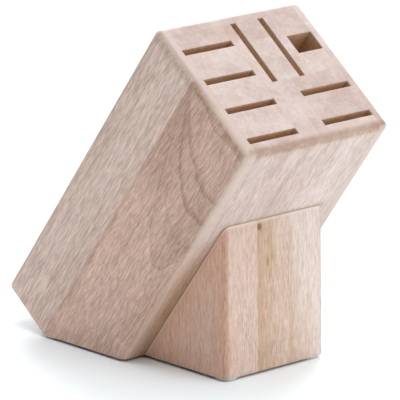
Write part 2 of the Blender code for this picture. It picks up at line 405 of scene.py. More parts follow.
def foot_envelope():
    """The wedge of the foot with rounded upright edges, in level axes."""
    half = FOOT_WIDTH / 2
    top = FOOT_REACH / math.tan(LEAN)
    outline = ((-FOOT_REACH, 0.0), (0.0, 0.0), (-FOOT_REACH, top))
    bm = bmesh.new()
    left, right = ([bm.verts.new((x, y, z)) for y, z in outline] for x in (-half, half))
    bm.faces.new(left)
    bm.faces.new(right)
    for here in range(3):
        after = (here + 1) % 3
        bm.faces.new((left[here], left[after], right[after], right[here]))
    bmesh.ops.recalc_face_normals(bm, faces=bm.faces)
    upright = [bm.edges.get((side[0], side[2])) for side in (left, right)]
    round_edges(bm, upright, FOOT_ROUNDING, ROUNDING_SEGMENTS)
    slope = Vector((0.0, math.cos(LEAN), math.sin(LEAN)))
    arc_start = FOOT_ROUNDING - FOOT_REACH + PAST_ARC
    top_rim = [
        edge for edge in bm.edges
        if all(abs(slope.dot(vert.co)) < ON_PLANE and vert.co.y < arc_start for vert in edge.verts)
    ]
    round_edges(bm, top_rim, FOOT_TOP_EASE, FOOT_TOP_EASE_SEGMENTS)
    bottom = [edge for edge in bm.edges if all(abs(vert.co.z) < ON_PLANE for vert in edge.verts)]
    front = [edge for edge in bottom if any(vert.co.y < -PAST_TOE for vert in edge.verts)]
    round_edges(bm, front, BOTTOM_EASE, BOTTOM_EASE_SEGMENTS)
    return mesh_object("foot_envelope", bm)


def mouth_rings():
    """(growth, depth) of the cutter that eases a slot's mouth."""
    rings = [(MOUTH_EASE * 3, -MOUTH_EASE * 2)]
    for step in range(MOUTH_STEPS + 1):
        angle = math.pi / 2 * step / MOUTH_STEPS
        rings.append((MOUTH_EASE * (1 - math.sin(angle)), MOUTH_EASE * (1 - math.cos(angle))))
    rings.append((-MOUTH_EASE, MOUTH_EASE * 2))
    return rings


def mouth_cutter(slots):
    """One cutter that rounds the edges of every slot's mouth, in the bar's own axes."""
    bm = bmesh.new()
    for left, right, low, high in slots:
        rings = []
        for growth, depth in mouth_rings():
            z = UNDERSIDE_LENGTH - depth
            corners = (
                (left - growth, low - growth),
                (right + growth, low - growth),
                (right + growth, high + growth),
                (left - growth, high + growth),
            )
            rings.append([bm.verts.new((x, y, z)) for x, y in corners])
        for upper, lower in zip(rings, rings[1:]):
            for here in range(4):
                after = (here + 1) % 4
                bm.faces.new((upper[here], upper[after], lower[after], lower[here]))
        bm.faces.new(rings[0])
        bm.faces.new(rings[-1])
    bmesh.ops.recalc_face_normals(bm, faces=bm.faces)
    return mesh_object("mouth_cutter", bm)


def turned_mesh(outline, sides, flute_depth=0.0):
    """A solid of revolution about Z. The outline runs from the axis to the axis, bottom to top."""
    bm = bmesh.new()
    rings = []
    for radius, z in outline[1:-1]:
        ring = []
        for step in range(sides):
            angle = 2 * math.pi * step / sides
            groove = max(0.0, math.cos(DOWEL_FLUTES * angle)) ** 2
            reach = radius - flute_depth * groove
            ring.append(bm.verts.new((reach * math.cos(angle), reach * math.sin(angle), z)))
        rings.append(ring)
    for lower, upper in zip(rings, rings[1:]):
        for here in range(sides):
            after = (here + 1) % sides
            bm.faces.new((lower[here], lower[after], upper[after], upper[here]))
    for ring, (_, z) in ((rings[0], outline[0]), (rings[-1], outline[-1])):
        centre = bm.verts.new((0.0, 0.0, z))
        for here in range(sides):
            bm.faces.new((centre, ring[here], ring[(here + 1) % sides]))
    bmesh.ops.recalc_face_normals(bm, faces=bm.faces)
    return bm


# ---------------------------------------------------------------- wood

def new_node(tree, kind, inputs=None, **settings):
    """Add a node, set its properties, and set or link its inputs."""
    node = tree.nodes.new(kind)
    for key, value in settings.items():
        setattr(node, key, value)
    for key, value in (inputs or {}).items():
        plug(tree, node.inputs[key], value)
    return node


def plug(tree, socket, value):
    """Link a socket to another one, or give it a value."""
    if isinstance(value, bpy.types.NodeSocket):
        tree.links.new(value, socket)
    else:
        socket.default_value = value


def calc(tree, operation, first, second=0.0, third=0.0):
    """One Math node's result."""
    inputs = {0: first, 1: second, 2: third}
    return new_node(tree, "ShaderNodeMath", inputs, operation=operation).outputs[0]


def add_up(tree, start, *terms):
    """start plus each (value, weight)."""
    for value, weight in terms:
        start = calc(tree, "MULTIPLY_ADD", value, weight, start)
    return start


def vector_calc(tree, operation, first, second=(0.0, 0.0, 0.0)):
    """One Vector Math node's result."""
    node = new_node(tree, "ShaderNodeVectorMath", {0: first, 1: second}, operation=operation)
    return node.outputs["Value" if operation in ("DOT_PRODUCT", "LENGTH") else "Vector"]


def smooth_step(tree, value, low, high):
    """0 at low, 1 at high, smooth between."""
    inputs = {"Value": value, "From Min": low, "From Max": high}
    node = new_node(tree, "ShaderNodeMapRange", inputs, interpolation_type="SMOOTHSTEP")
    return node.outputs["Result"]


def separate(tree, place):
    """X, Y and Z of a place."""
    return new_node(tree, "ShaderNodeSeparateXYZ", {0: place}).outputs


def combine(tree, *values):
    """A vector of up to three values."""
    return new_node(tree, "ShaderNodeCombineXYZ", dict(enumerate(values))).outputs[0]


def product(tree, *values):
    """All the values multiplied."""
    result = values[0]
    for value in values[1:]:
        result = calc(tree, "MULTIPLY", result, value)
    return result


def keep_share(tree, value):
    """A value kept between 0 and 1."""
    return calc(tree, "MINIMUM", calc(tree, "MAXIMUM", value, 0.0), 1.0)


def blend_colour(tree, factor, first, second, mode="MIX"):
    """Mix two colours."""
    node = new_node(tree, "ShaderNodeMix", data_type="RGBA", blend_type=mode)
    sockets = {socket.identifier: socket for socket in node.inputs}
    plug(tree, sockets["Factor_Float"], factor)
    plug(tree, sockets["A_Color"], first)
    plug(tree, sockets["B_Color"], second)
    return next(socket for socket in node.outputs if socket.identifier == "Result_Color")


def noise(tree, place, stretch, detail):
    """Noise around 0 on the place in millimetres, times a stretch for each axis."""
    inputs = {
        "Vector": vector_calc(tree, "MULTIPLY", place, stretch),
        "Scale": 1.0,
        "Detail": detail,
    }
    node = new_node(tree, "ShaderNodeTexNoise", inputs)
    return calc(tree, "SUBTRACT", node.outputs[0], 0.5)


def place_in(tree, matrix):
    """The shaded point in millimetres, in the axes of a matrix."""
    inputs = {
        "Vector": new_node(tree, "ShaderNodeTexCoord").outputs["Object"],
        "Location": matrix.translation,
        "Rotation": matrix.to_euler(),
        "Scale": (1.0 / MM, 1.0 / MM, 1.0 / MM),
    }
    return new_node(tree, "ShaderNodeMapping", inputs, vector_type="TEXTURE").outputs["Vector"]


WOOD_INPUTS = (
    ("Place", "NodeSocketVector"),
    ("Shift", "NodeSocketVector"),
    ("Pith", "NodeSocketVector"),
    ("Slope", "NodeSocketFloat"),
    ("Ring Width", "NodeSocketFloat"),
    ("Ring Strength", "NodeSocketFloat"),
    ("Streaks", "NodeSocketFloat"),
    ("Fibre Rate", "NodeSocketFloat"),
    ("Wave", "NodeSocketFloat"),
    ("Ripple", "NodeSocketFloat"),
    ("Figure", "NodeSocketFloat"),
    ("Bias", "NodeSocketFloat"),
    ("Drift", "NodeSocketVector"),
    ("Arches", "NodeSocketFloat"),
    ("End Grain", "NodeSocketFloat"),
    ("Pale", "NodeSocketColor"),
    ("Deep", "NodeSocketColor"),
)
WOOD_OUTPUTS = (
    ("Colour", "NodeSocketColor"),
    ("Height", "NodeSocketFloat"),
    ("Gloss", "NodeSocketFloat"),
)


def wood_group():
    """Node group of the rubberwood: grain along Z, in millimetres, around a pith line."""
    tree = bpy.data.node_groups.new("rubberwood", "ShaderNodeTree")
    for name, kind in WOOD_INPUTS:
        tree.interface.new_socket(name, in_out="INPUT", socket_type=kind)
    for name, kind in WOOD_OUTPUTS:
        tree.interface.new_socket(name, in_out="OUTPUT", socket_type=kind)
    given = tree.nodes.new("NodeGroupInput").outputs
    result = tree.nodes.new("NodeGroupOutput").inputs
    side_grain = calc(tree, "SUBTRACT", 1.0, given["End Grain"])
    seed = vector_calc(tree, "ADD", given["Place"], given["Shift"])

    # Growth rings: distance from the pith, which shrinks a little along the grain.
    offset = vector_calc(tree, "SUBTRACT", given["Place"], given["Pith"])
    flat = vector_calc(tree, "MULTIPLY", offset, (1.0, 1.0, 0.0))
    height = separate(tree, given["Place"])["Z"]
    climb = calc(tree, "MULTIPLY", height, given["Slope"])
    radius = calc(tree, "SUBTRACT", vector_calc(tree, "LENGTH", flat), climb)
    radius = add_up(tree, radius, *((noise(tree, seed, *kind), reach) for kind, reach in RING_WANDER))
    cycle = calc(tree, "FRACT", calc(tree, "DIVIDE", radius, given["Ring Width"]))
    ring = calc(
        tree,
        "MULTIPLY",
        smooth_step(tree, cycle, *RING_RISE),
        smooth_step(tree, cycle, *RING_FALL),
    )
    faint_at_end = calc(tree, "MULTIPLY_ADD", given["End Grain"], RINGS_AT_END, 1.0)
    ring_strength = calc(tree, "MULTIPLY", given["Ring Strength"], faint_at_end)

    # Fibres run along the grain and sway a little to both sides.
    sway_inputs = {
        "Vector": vector_calc(tree, "MULTIPLY", seed, SWAY_STRETCH),
        "Scale": 1.0,
        "Detail": 1.0,
    }
    sway = new_node(tree, "ShaderNodeTexNoise", sway_inputs).outputs["Color"]
    sway = vector_calc(tree, "SUBTRACT", sway, (0.5, 0.5, 0.5))
    sway = vector_calc(tree, "MULTIPLY", sway, combine(tree, given["Wave"], given["Wave"], 0.0))
    fibre_place = vector_calc(tree, "ADD", seed, sway)
    rate = combine(tree, 1.0, 1.0, given["Fibre Rate"])
    fibre_place = vector_calc(tree, "MULTIPLY", fibre_place, rate)
    fibre = noise(tree, fibre_place, *FIBRE)
    fleck = noise(tree, fibre_place, *FLECK)
    band = noise(tree, fibre_place, *BAND)
    blotch = noise(tree, seed, *BLOTCH)
    broad = noise(tree, seed, *BROAD)
    broad = calc(tree, "MULTIPLY", broad, BROAD_SHARE)
    figure = add_up(tree, broad, (band, BAND_SHARE), (blotch, BLOTCH_SHARE))
    stronger_at_end = calc(tree, "MULTIPLY_ADD", given["End Grain"], FIGURE_AT_END, 1.0)
    figure = calc(tree, "MULTIPLY", figure, stronger_at_end)
    pores = smooth_step(tree, noise(tree, fibre_place, *PORES), *PORE_STEP)
    zone = smooth_step(tree, noise(tree, seed, *PORE_ZONES), *PORE_ZONE_STEP)
    pores = calc(tree, "MULTIPLY", pores, zone)

    # Ripples cross the grain where it was curly.
    curl = noise(tree, seed, *CURL)

    tone = add_up(
        tree,
        calc(tree, "ADD", given["Bias"], vector_calc(tree, "DOT_PRODUCT", given["Place"], given["Drift"])),
        (figure, given["Figure"]),
        (ring, ring_strength),
        (curl, given["Ripple"]),
        (given["Arches"], 1.0),
    )
    colour = blend_colour(tree, keep_share(tree, tone), given["Pale"], given["Deep"])
    warmth = smooth_step(tree, noise(tree, seed, *WARMTH), *WARM_STEP)
    warmth = calc(tree, "MULTIPLY", warmth, calc(tree, "MULTIPLY", given["Figure"], WARM_SHARE))
    colour = blend_colour(tree, warmth, colour, WARM_TINT, "MULTIPLY")

    # Fibres and pores darken the sides, and show more weakly on the sanded end grain.
    crisp_fibre = smooth_step(tree, fibre, *FIBRE_STEP)
    crisp_fleck = smooth_step(tree, fleck, *FLECK_STEP)
    lines = add_up(tree, DARKEST_LINE, (crisp_fibre, FIBRE_RISE), (crisp_fleck, FLECK_RISE))
    lines = calc(tree, "MULTIPLY", lines, given["Streaks"])
    lines = calc(tree, "MULTIPLY", lines, calc(tree, "MULTIPLY_ADD", side_grain, 0.45, 0.55))
    dark = calc(tree, "MULTIPLY", pores, calc(tree, "MULTIPLY_ADD", side_grain, 0.12, 0.05))
    shade = calc(tree, "SUBTRACT", lines, dark)
    shades = [calc(tree, "MULTIPLY_ADD", shade, depth, 1.0) for depth in LINE_DEPTH]
    shaded = vector_calc(tree, "MULTIPLY", colour, combine(tree, *shades))
    tree.links.new(shaded, result["Colour"])

    level = calc(tree, "SUBTRACT", calc(tree, "MULTIPLY", lines, 0.8), calc(tree, "MULTIPLY", pores, 0.4))
    tree.links.new(level, result["Height"])
    gloss = add_up(tree, 0.55, (fibre, -0.25), (pores, 0.2))
    tree.links.new(gloss, result["Gloss"])
    return tree


RUBBERWOOD = wood_group()


def mark(tree, place, centre, radii):
    """1 at the centre of an ellipsoid, 0 outside of it."""
    offset = vector_calc(tree, "SUBTRACT", place, centre)
    scaled = vector_calc(tree, "DIVIDE", offset, radii)
    return smooth_step(tree, vector_calc(tree, "LENGTH", scaled), 1.0, 0.35)


def arches(tree, place):
    """Tone of the growth rings that fan out from the seam's upper end and arch over the board."""
    _, height, grain = separate(tree, place)
    along = calc(tree, "SUBTRACT", UNDERSIDE_LENGTH * MM, grain)
    along = add_up(tree, along, *((noise(tree, place, *kind), reach) for kind, reach in ARCH_WANDER))
    across = calc(tree, "SUBTRACT", SIDE_SEAM_HEIGHT * MM, height)
    slack = calc(tree, "DIVIDE", calc(tree, "SUBTRACT", across, ARCH_TIP), ARCH_TIP)
    return_bend = add_up(tree, -0.7, (smooth_step(tree, along, *ARCH_RETURN_ALONG), 3.0))
    past_tip = calc(tree, "GREATER_THAN", slack, 0.0)
    stiffness = calc(tree, "MULTIPLY_ADD", past_tip, return_bend, 1.0)
    bend = calc(tree, "SUBTRACT", 1.0, product(tree, slack, slack, stiffness))
    ring = calc(tree, "DIVIDE", along, calc(tree, "MAXIMUM", bend, LEAST_BEND))
    inside = smooth_step(tree, ring, *ARCH_INSIDE)
    inside = calc(tree, "MAXIMUM", inside, smooth_step(tree, along, *ARCH_INSIDE_ALONG))
    core = smooth_step(tree, ring, *ARCH_CORE)
    fan = product(
        tree,
        smooth_step(tree, across, *ARCH_FAN_ACROSS),
        smooth_step(tree, ring, *ARCH_FAN_OUTER),
        smooth_step(tree, ring, *ARCH_FAN_INNER),
    )
    tone = add_up(tree, 0.0, (inside, 0.24), (core, -0.13), (fan, 0.16))
    for middle, strength in ARCHES:
        offset = calc(tree, "SUBTRACT", ring, middle)
        faded = smooth_step(tree, offset, -ARCH_FADE, 0.0)
        edge = smooth_step(tree, offset, ARCH_EDGE, 0.0)
        tone = add_up(tree, tone, (product(tree, faded, edge), strength))
    return tone


def bar_finish(tree, place, facing, colour):
    """Painted shade on the side below the slot face, cream side edges that are partly a painted highlight,
    a front edge darkened with painted shade and browned, painted shade with a stain around the foot, and
    the glue along the foot.
    """
    across, height, grain = separate(tree, place)
    to_end = calc(tree, "SUBTRACT", UNDERSIDE_LENGTH * MM, grain)
    # Painted shade: a line along the flat side just below the slot face, and the upper part of the side's
    # rounding.
    on_side = smooth_step(tree, facing[0], *FACES_SIDE_FLAT)
    side_shade_line = product(tree, on_side, smooth_step(tree, to_end, *SIDE_SHADE_BELOW_END))
    turning = smooth_step(tree, calc(tree, "MAXIMUM", facing[1], facing[2]), *TURNS_FROM_SIDE)
    upper = smooth_step(tree, to_end, *EDGE_SHADE_BELOW_END)
    rounded = product(tree, turning, upper, smooth_step(tree, facing[0], *STILL_FACES_SIDE))
    shaded = calc(tree, "MAXIMUM", side_shade_line, rounded)
    colour = blend_colour(tree, shaded, colour, SIDE_PAINTED_SHADE, "MULTIPLY")
    # Painted shade with a brown tint on the rounding between the slot face and the underside.
    front = smooth_step(tree, calc(tree, "ADD", height, to_end), *FRONT_EDGE_REACH)
    colour = blend_colour(tree, front, colour, FRONT_EDGE_SHADE_AND_TINT, "MULTIPLY")
    # The cream on the side's roundings, near the upper end and near the underside, is partly a paler edge
    # colour and partly a painted highlight.
    high_up = smooth_step(tree, to_end, *UPPER_HIGHLIGHT_BELOW_END)
    upper_cream_highlight = calc(tree, "MULTIPLY", facing[1], high_up)
    beneath = smooth_step(tree, facing[1], *FACES_UNDER)
    board_edge = smooth_step(tree, calc(tree, "ABSOLUTE", across), *BOARD_EDGE_ACROSS)
    edge_share = product(tree, beneath, board_edge, BOARD_EDGE_SHARE)
    colour = blend_colour(tree, edge_share, colour, BOARD_EDGE)
    lower_cream_highlight = product(tree, facing[2], smooth_step(tree, height, *LOWER_HIGHLIGHT_HEIGHT))
    turned = product(tree, facing[0], calc(tree, "MAXIMUM", upper_cream_highlight, lower_cream_highlight))
    cream = calc(tree, "MULTIPLY", smooth_step(tree, turned, *CREAM_TURN), CREAM_SHARE)
    colour = blend_colour(tree, cream, colour, CREAM)

    # Under the overhang beside and beyond the foot: painted shade together with a stain.
    beside = calc(tree, "SUBTRACT", calc(tree, "ABSOLUTE", across), FOOT_WIDTH * MM / 2)
    beyond = calc(tree, "SUBTRACT", grain, FOOT_REACH * MM / math.sin(LEAN))
    corner = [calc(tree, "MAXIMUM", side, 0.0) for side in (beside, beyond)]
    outside = vector_calc(tree, "LENGTH", combine(tree, *corner))
    low = smooth_step(tree, height, *SHADE_AND_STAIN_HEIGHT)
    corner_shade_and_stain = product(
        tree,
        low,
        smooth_step(tree, beside, *SHADE_AND_STAIN_BESIDE),
        smooth_step(tree, beyond, *SHADE_AND_STAIN_BEYOND),
    )
    colour = blend_colour(tree, corner_shade_and_stain, colour, CORNER_SHADE_AND_STAIN, "MULTIPLY")
    residue = product(tree, low, smooth_step(tree, outside, *GLUE_SPREAD), BAR_GLUE_SHARE)
    return blend_colour(tree, residue, colour, GLUE_LINE, "MULTIPLY")


def foot_finish(tree, place, facing, colour):
    """Slightly darker upright edges as painted shade, a painted cream highlight just below the joint with
    the bar, and the glue that shows along that joint.
    """
    # Painted shade on the foot's rounded upright edges.
    rounded = smooth_step(tree, product(tree, facing[0], facing[1]), *FOOT_EDGE_SHADE_TURN)
    colour = blend_colour(tree, rounded, colour, FOOT_EDGE_SHADE, "MULTIPLY")
    up_slope = (0.0, math.cos(LEAN), math.sin(LEAN))
    below = calc(tree, "MULTIPLY", vector_calc(tree, "DOT_PRODUCT", place, up_slope), -1.0)
    # A painted highlight in cream on the eased top edge just below the joint.
    eased_edge_highlight = calc(tree, "MULTIPLY", smooth_step(tree, below, *EASE_HIGHLIGHT_BELOW_JOINT), EASE_HIGHLIGHT_SHARE)
    colour = blend_colour(tree, eased_edge_highlight, colour, EASE_HIGHLIGHT)
    residue = calc(tree, "MULTIPLY", smooth_step(tree, below, *GLUE_BELOW_JOINT), FOOT_GLUE_SHARE)
    return blend_colour(tree, residue, colour, GLUE_LINE, "MULTIPLY")


def new_material(name):
    """A material, its node tree and its Principled shader."""
    material = bpy.data.materials.new(name)
    material.use_nodes = True
    tree = material.node_tree
    return material, tree, tree.nodes["Principled BSDF"]


def add_bump(tree, shader, strength, distance, height):
    """Give a shader a bump from a height."""
    inputs = {"Strength": strength, "Distance": distance, "Height": height}
    bump = new_node(tree, "ShaderNodeBump", inputs)
    tree.links.new(bump.outputs["Normal"], shader.inputs["Normal"])


def wood_material(name, matrix, wood, finish=None):
    """Sanded and oiled wood for one stave, its grain along the matrix's Z axis."""
    material, tree, shader = new_material(f"wood_{name}")
    axes = matrix.to_3x3()
    place = place_in(tree, matrix)
    normal = new_node(tree, "ShaderNodeNewGeometry").outputs["Normal"]
    facing = [
        calc(tree, "ABSOLUTE", vector_calc(tree, "DOT_PRODUCT", normal, axes.col[i]))
        for i in range(3)
    ]
    end_grain = smooth_step(tree, facing[2], *FACES_END)
    sideways = smooth_step(tree, facing[0], *FACES_SIDEWAYS)

    pale, deep = TONES[wood["tone"]]
    values = {
        "Place": place,
        "Shift": wood["shift"],
        "Pith": wood["pith"],
        "Slope": wood["slope"],
        "Ring Width": wood["ring"],
        "Ring Strength": wood["ring_strength"],
        "Streaks": wood["streaks"],
        "Fibre Rate": wood["fibre_rate"],
        "Wave": wood["wave"],
        "Ripple": wood["ripple"],
        "Figure": wood["figure"],
        "Bias": calc(tree, "MULTIPLY_ADD", sideways, wood["side_bias"], wood["bias"]),
        "Drift": wood["drift"],
        "Arches": arches(tree, place) if wood["arched"] else 0.0,
        "End Grain": end_grain,
        "Pale": (*pale, 1.0),
        "Deep": (*deep, 1.0),
    }
    group = new_node(tree, "ShaderNodeGroup", node_tree=RUBBERWOOD)
    for key, value in values.items():
        plug(tree, group.inputs[key], value)
    colour = group.outputs["Colour"]
    colour = blend_colour(tree, calc(tree, "MULTIPLY", end_grain, wood["end_mix"]), colour, END_GRAIN)
    colour = blend_colour(tree, end_grain, colour, END_TINT, "MULTIPLY")
    if finish:
        colour = finish(tree, place, facing, colour)
    for centre, radii, strength, tint in wood["marks"]:
        spot = calc(tree, "MULTIPLY", mark(tree, place, centre, radii), strength)
        colour = blend_colour(tree, spot, colour, tint, "MULTIPLY")
    tree.links.new(colour, shader.inputs["Base Color"])
    tree.links.new(group.outputs["Gloss"], shader.inputs["Roughness"])
    add_bump(tree, shader, *WOOD_BUMP, group.outputs["Height"])
    shader.inputs["Specular IOR Level"].default_value = WOOD_SPECULAR
    return material


def sawn_material():
    """The rough, slightly scorched walls that the saw leaves inside the slots."""
    material, tree, shader = new_material("sawn_wall")
    place = place_in(tree, BAR)
    marks = noise(tree, place, *SAW_MARKS)
    grain = noise(tree, place, *SAWN_GRAIN)
    tone = keep_share(tree, add_up(tree, 0.5, (marks, 0.9), (grain, 0.9)))
    colour = blend_colour(tree, tone, SAWN_DARK, SAWN_LIGHT)
    tree.links.new(colour, shader.inputs["Base Color"])
    tree.links.new(add_up(tree, 0.75, (marks, 0.3)), shader.inputs["Roughness"])
    add_bump(tree, shader, *SAWN_BUMP, marks)
    shader.inputs["Specular IOR Level"].default_value = SAWN_SPECULAR
    return material


def rubber_material():
    """Milky silicone with a faint haze."""
    material, tree, shader = new_material("clear_rubber")
    place = place_in(tree, LEVEL)
    haze = noise(tree, place, *HAZE)
    tint = blend_colour(tree, smooth_step(tree, haze, *HAZE_STEP), RUBBER_CLEAR, RUBBER_HAZE)
    tree.links.new(tint, shader.inputs["Base Color"])
    tree.links.new(add_up(tree, 0.24, (haze, 0.2)), shader.inputs["Roughness"])
    add_bump(tree, shader, *RUBBER_BUMP, haze)
    shader.inputs["Transmission Weight"].default_value = RUBBER_TRANSMISSION
    shader.inputs["Subsurface Weight"].default_value = RUBBER_SUBSURFACE
    shader.inputs["Subsurface Scale"].default_value = RUBBER_SUBSURFACE_SCALE
    shader.inputs["IOR"].default_value = RUBBER_IOR
    return material


def stave(tone, pith=(30.0, -60.0), slope=0.01, ring=6.0, ring_strength=0.25, shift=0.0,
          streaks=1.0, fibre_rate=1.0, wave=3.0, ripple=0.18, figure=0.8, bias=0.42,
          side_bias=0.0, drift=(0.0, 0.0, 0.0), end_mix=0.25, arched=False, marks=()):
    """How one stave was cut from its tree, and what the finish made of it."""
    return {
        "tone": tone,
        "pith": (*pith, 0.0),
        "slope": slope,
        "ring": ring,
        "ring_strength": ring_strength,
        "shift": (37.0 * shift, 53.0 * shift, 211.0 * shift),
        "streaks": streaks,
        "fibre_rate": fibre_rate,
        "wave": wave,
        "ripple": ripple,
        "figure": figure,
        "bias": bias,
        "side_bias": side_bias,
        "drift": drift,
        "end_mix": end_mix,
        "arched": arched,
        "marks": marks,
    }


# Marks are (centre, radii, strength, tint), in millimetres in the axes of the bar or the foot.
BAR_STAVES = {
    "left_board_back": stave(
        "side", pith=(-60.0, 260.0), shift=1, wave=1.0, ring_strength=0.1, streaks=1.5,
        fibre_rate=0.8, figure=0.45, ripple=0.08, end_mix=0.85,
        marks=(((-63.5, 83.0, 167.0), (3.0, 1.6, 3.0), 0.5, SPECK),),
    ),
    "left_board_front": stave(
        "heart", pith=(-60.0, 260.0), shift=2, ring_strength=0.08, fibre_rate=0.8, end_mix=0.85,
        wave=5.0, streaks=1.45, bias=0.27, arched=True,
        marks=(
            ((-63.5, 66.5, 58.0), (3.0, 1.8, 78.0), 0.6, STREAK),
            ((-63.5, 47.0, 68.0), (3.0, 1.2, 34.0), 0.6, STREAK),
        ),
    ),
    "right_board_back": stave("pale", pith=(60.0, 260.0), shift=3),
    "right_board_front": stave("pink", pith=(120.0, 40.0), slope=0.02, shift=4),
    "back_board_left": stave("pink", pith=(-40.0, 60.0), slope=0.03, shift=5),
    "back_board_right": stave("pink", pith=(30.0, 50.0), slope=0.03, shift=6),
    "left_divider": stave(
        "pale", pith=(40.0, 20.0), shift=7,
        marks=(((-8.0, 102.0, 210.0), (9.0, 14.0, 400.0), 0.9, BLUSH),),
    ),
    "centre_divider_back": stave("pink", pith=(0.0, 20.0), shift=8),
    "centre_divider_front": stave("pale", pith=(60.0, 10.0), shift=9),
    "right_divider_back": stave("pink", pith=(0.0, 30.0), shift=10),
    "right_divider_front": stave("pale", pith=(60.0, 10.0), shift=9),
    "steel_strip_back": stave("pink", pith=(40.0, 20.0), shift=10),
    "steel_strip_front": stave("pale", pith=(70.0, 10.0), shift=11),
    "centre_block_back": stave("pale", pith=(-40.0, -20.0), shift=12),
    "centre_block_front": stave("pink", pith=(-30.0, 50.0), shift=13),
    "right_spine": stave("pink", pith=(20.0, -50.0), shift=14),
    "left_strip_1": stave("pink", pith=(-60.0, 20.0), shift=15),
    "left_strip_2": stave("pale", pith=(-30.0, 150.0), shift=16),
    "left_strip_3": stave("pale", pith=(-70.0, 10.0), shift=17),
    "left_strip_4": stave("pale", pith=(-20.0, -30.0), shift=18),
    "left_strip_5": stave("pink", pith=(-30.0, 50.0), shift=13),
    "right_strip_1": stave("pink", pith=(90.0, 10.0), shift=19),
    "right_strip_2": stave("pink", pith=(20.0, -60.0), shift=20),
    "right_strip_3": stave("pale", pith=(20.0, -50.0), shift=14),
}

# The knot lies at the top of the seam between the left and the middle stave.
FOOT_STAVES = {
    "foot_left": stave(
        "foot", pith=(-20.0, -200.0), shift=21, bias=0.20, side_bias=0.60, fibre_rate=1.3,
        figure=0.6, streaks=0.95,
    ),
    "foot_middle": stave(
        "tan", pith=(-10.0, -150.0), shift=22, figure=0.45, ripple=0.4, bias=0.77,
        drift=(-0.021, 0.0, 0.0),
        marks=(
            ((-13.4, -83.0, 100.6), (2.9, 3.0, 3.6), 0.9, KNOT),
            ((-6.0, -83.0, 76.0), (0.6, 1.5, 5.5), 0.8, KNOT),
        ),
    ),
    # foot_right's drift in Z makes it deeper towards the floor; that part is painted shade.
    "foot_right": stave(
        "tan", pith=(60.0, -160.0), shift=22, figure=0.45, bias=0.97,
        drift=(-0.021, 0.0, -0.004), streaks=0.85,
    ),
}

DOWEL_WOOD = stave("beech", pith=(40.0, 10.0), ring=4.0, shift=30)


def grow(low, high, others):
    """Close the glue line on each side of a section that another section lies against."""
    low = low.copy()
    high = high.copy()
    reach = (GLUE_GAP - SEAM) / 2
    start_low, start_high = low.copy(), high.copy()
    for axis, cross in ((0, 1), (1, 0)):
        for other_low, other_high in others:
            overlap = min(start_high[cross], other_high[cross]) - max(start_low[cross], other_low[cross])
            if overlap < LEAST_CONTACT:
                continue
            if abs(other_high[axis] - start_low[axis]) < 2 * GLUE_GAP:
                low[axis] = start_low[axis] - reach
            if abs(other_low[axis] - start_high[axis]) < 2 * GLUE_GAP:
                high[axis] = start_high[axis] + reach
    return low, high


def slots_between():
    """(left, right, low, high) of every slot, from the walls of the staves beside it."""
    box = {name: cad_section(name, BAR) for name in BAR_STAVES}
    inner_left = box["left_board_back"][1].x
    inner_right = box["right_board_back"][0].x
    slots = []
    for side, count, left, right in (
        ("left", 5, inner_left, box["left_divider"][0].x),
        ("right", 3, box["right_spine"][1].x, inner_right),
    ):
        for number in range(1, count):
            high = box[f"{side}_strip_{number}"][0].y
            low = box[f"{side}_strip_{number + 1}"][1].y
            slots.append((left, right, low, high))
    low = box["centre_block_back"][1].y
    high = box["back_board_left"][0].y
    slots.append((box["left_divider"][1].x, box["centre_divider_back"][0].x, low, high))
    slots.append((box["centre_divider_back"][1].x, box["right_divider_back"][0].x, low, high))
    slots.append((
        box["right_divider_back"][1].x,
        inner_right,
        box["steel_strip_front"][1].y,
        box["steel_strip_back"][0].y,
    ))
    return slots


def make_piece(name, low, high, matrix, cutters, materials):
    """One stave: its section, bounded and eased by the cutters, laid in place."""
    piece = mesh_object(name + "_wood", box_mesh(low, high, SAWN))
    for material in materials:
        piece.data.materials.append(material)
    for operation, cutter in cutters:
        add_boolean(piece, operation, cutter)
    bores = []
    if name in DOWELLED:
        bores = [bore_cutter(node, matrix) for node in DOWELS]
    for bore in bores:
        add_boolean(piece, "DIFFERENCE", bore)
    settle(piece)
    drop(*bores)
    tidy_faces(piece)
    piece.data.transform(matrix)
    finish_piece(piece, name, materials)


def make_bar(sawn):
    """Every stave of the bar."""
    envelope = bar_envelope()
    mouths = mouth_cutter(slots_between())
    sections = {name: cad_section(name, BAR) for name in BAR_STAVES}
    edge = Vector((BAR_WIDTH / 2, BAR_DEPTH, 0.0))
    for name, wood in BAR_STAVES.items():
        others = [section for other, section in sections.items() if other != name]
        low, high = grow(*sections[name], others)
        for axis in range(2):
            floor = -edge.x if axis == 0 else 0.0
            if abs(low[axis] - floor) < GLUE_GAP:
                low[axis] -= OVERRUN
            if abs(high[axis] - edge[axis]) < GLUE_GAP:
                high[axis] += OVERRUN
        low.z = REAR_END - OVERRUN
        high.z = UNDERSIDE_LENGTH + OVERRUN
        cutters = (("INTERSECT", envelope), ("DIFFERENCE", mouths))
        materials = (wood_material(name, BAR, wood, bar_finish), sawn)
        make_piece(name, low, high, BAR, cutters, materials)
    drop(envelope, mouths)


def dowel_matrix(node):
    """Where a dowel stands: its foot end at the origin, its length along Z."""
    low, high = cad_section(node, BAR)
    middle = (low + high) / 2
    stand = Matrix.Translation((middle.x, low.y, middle.z))
    return BAR @ stand @ Matrix.Rotation(-math.pi / 2, 4, "X")


def dowel_size(node):
    """(radius, length) of a dowel."""
    low, high = cad_section(node, BAR)
    return (high.x - low.x) / 2, high.y - low.y


